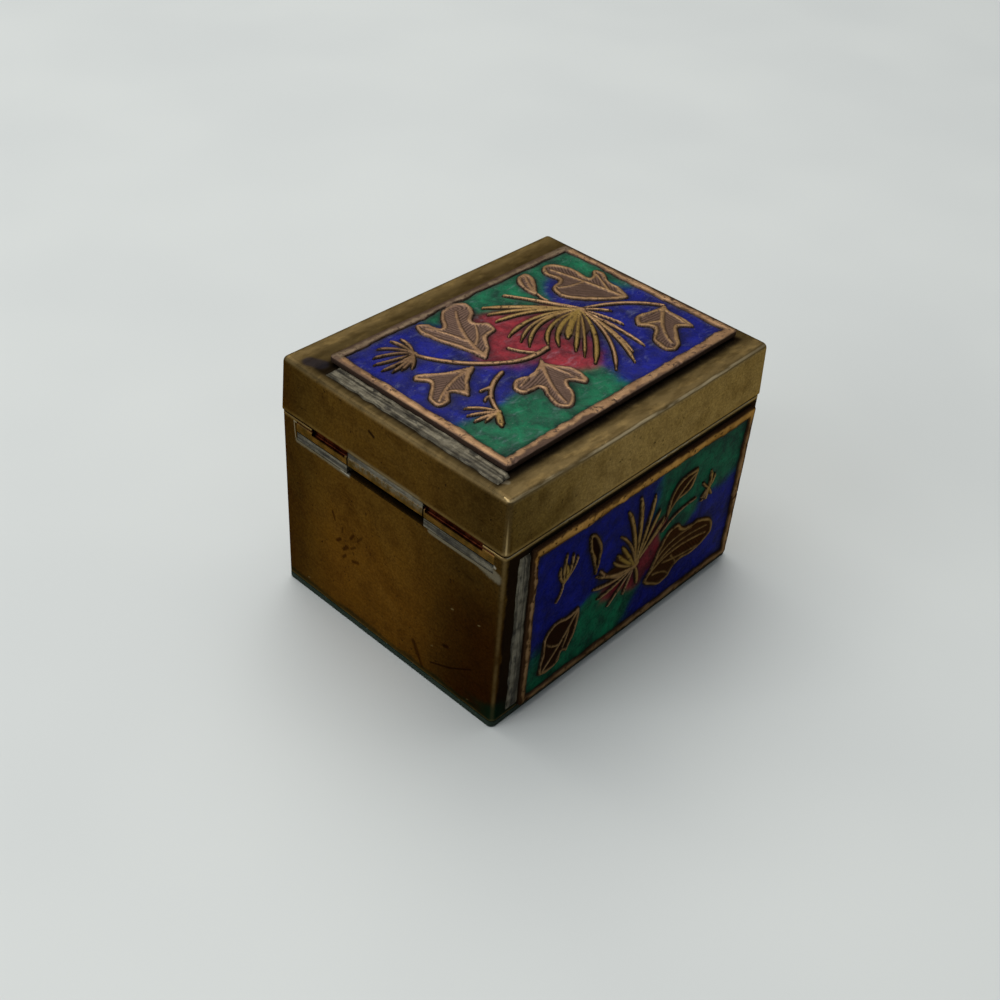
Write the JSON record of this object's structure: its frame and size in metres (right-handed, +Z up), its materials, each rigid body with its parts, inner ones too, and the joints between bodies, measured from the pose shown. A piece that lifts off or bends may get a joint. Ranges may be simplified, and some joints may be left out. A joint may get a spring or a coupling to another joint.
{
  "type": "champleve enamel box",
  "caption": "Small rectangular brass box with a flush-hinged lid, raised champleve enamel plaques with flower and leaf relief on the lid and long sides, and a felt underside.",
  "frame": {"origin": "middle of the felt underside", "axes": "+Z up, +X from the hinge end to the far end, -Y towards the long side seen in the picture"},
  "size_m": [0.0502, 0.041, 0.0377],
  "materials": {
    "body_brass": "aged brown-olive patina, satin, lighter on worn edges",
    "hinge_brass": "filed flush, dull",
    "plaque_brass": "worn copper-tan rim, relief darkened in its hollows",
    "solder": "rough grey soft solder",
    "enamel": "glossy fused enamel, blue, green and red areas that blend",
    "felt": "dark green felt"
  },
  "bodies": {
    "box": {"felt_base": "felt", "body": "body_brass", "hinge_knuckle_far": "hinge_brass", "hinge_solder_far": "solder", "hinge_knuckle_near": "hinge_brass", "hinge_solder_near": "solder", "hinge_pin": "hinge_brass", "front_plaque": "plaque_brass", "front_enamel": "enamel", "front_solder": "solder", "back_plaque": "plaque_brass", "back_enamel": "enamel"},
    "lid": {"lid": "body_brass", "hinge_knuckle_lid": "hinge_brass", "hinge_solder_lid": "solder", "top_plaque": "plaque_brass", "top_enamel": "enamel", "lid_solder": "solder"}
  },
  "joints": [
    {"name": "lid_hinge", "type": "hinge", "parent": "box", "child": "lid", "pos_m": [-0.0243, 0, 0.02707], "axis": [0, -1, 0], "range_deg": [0, 110]}
  ]
}
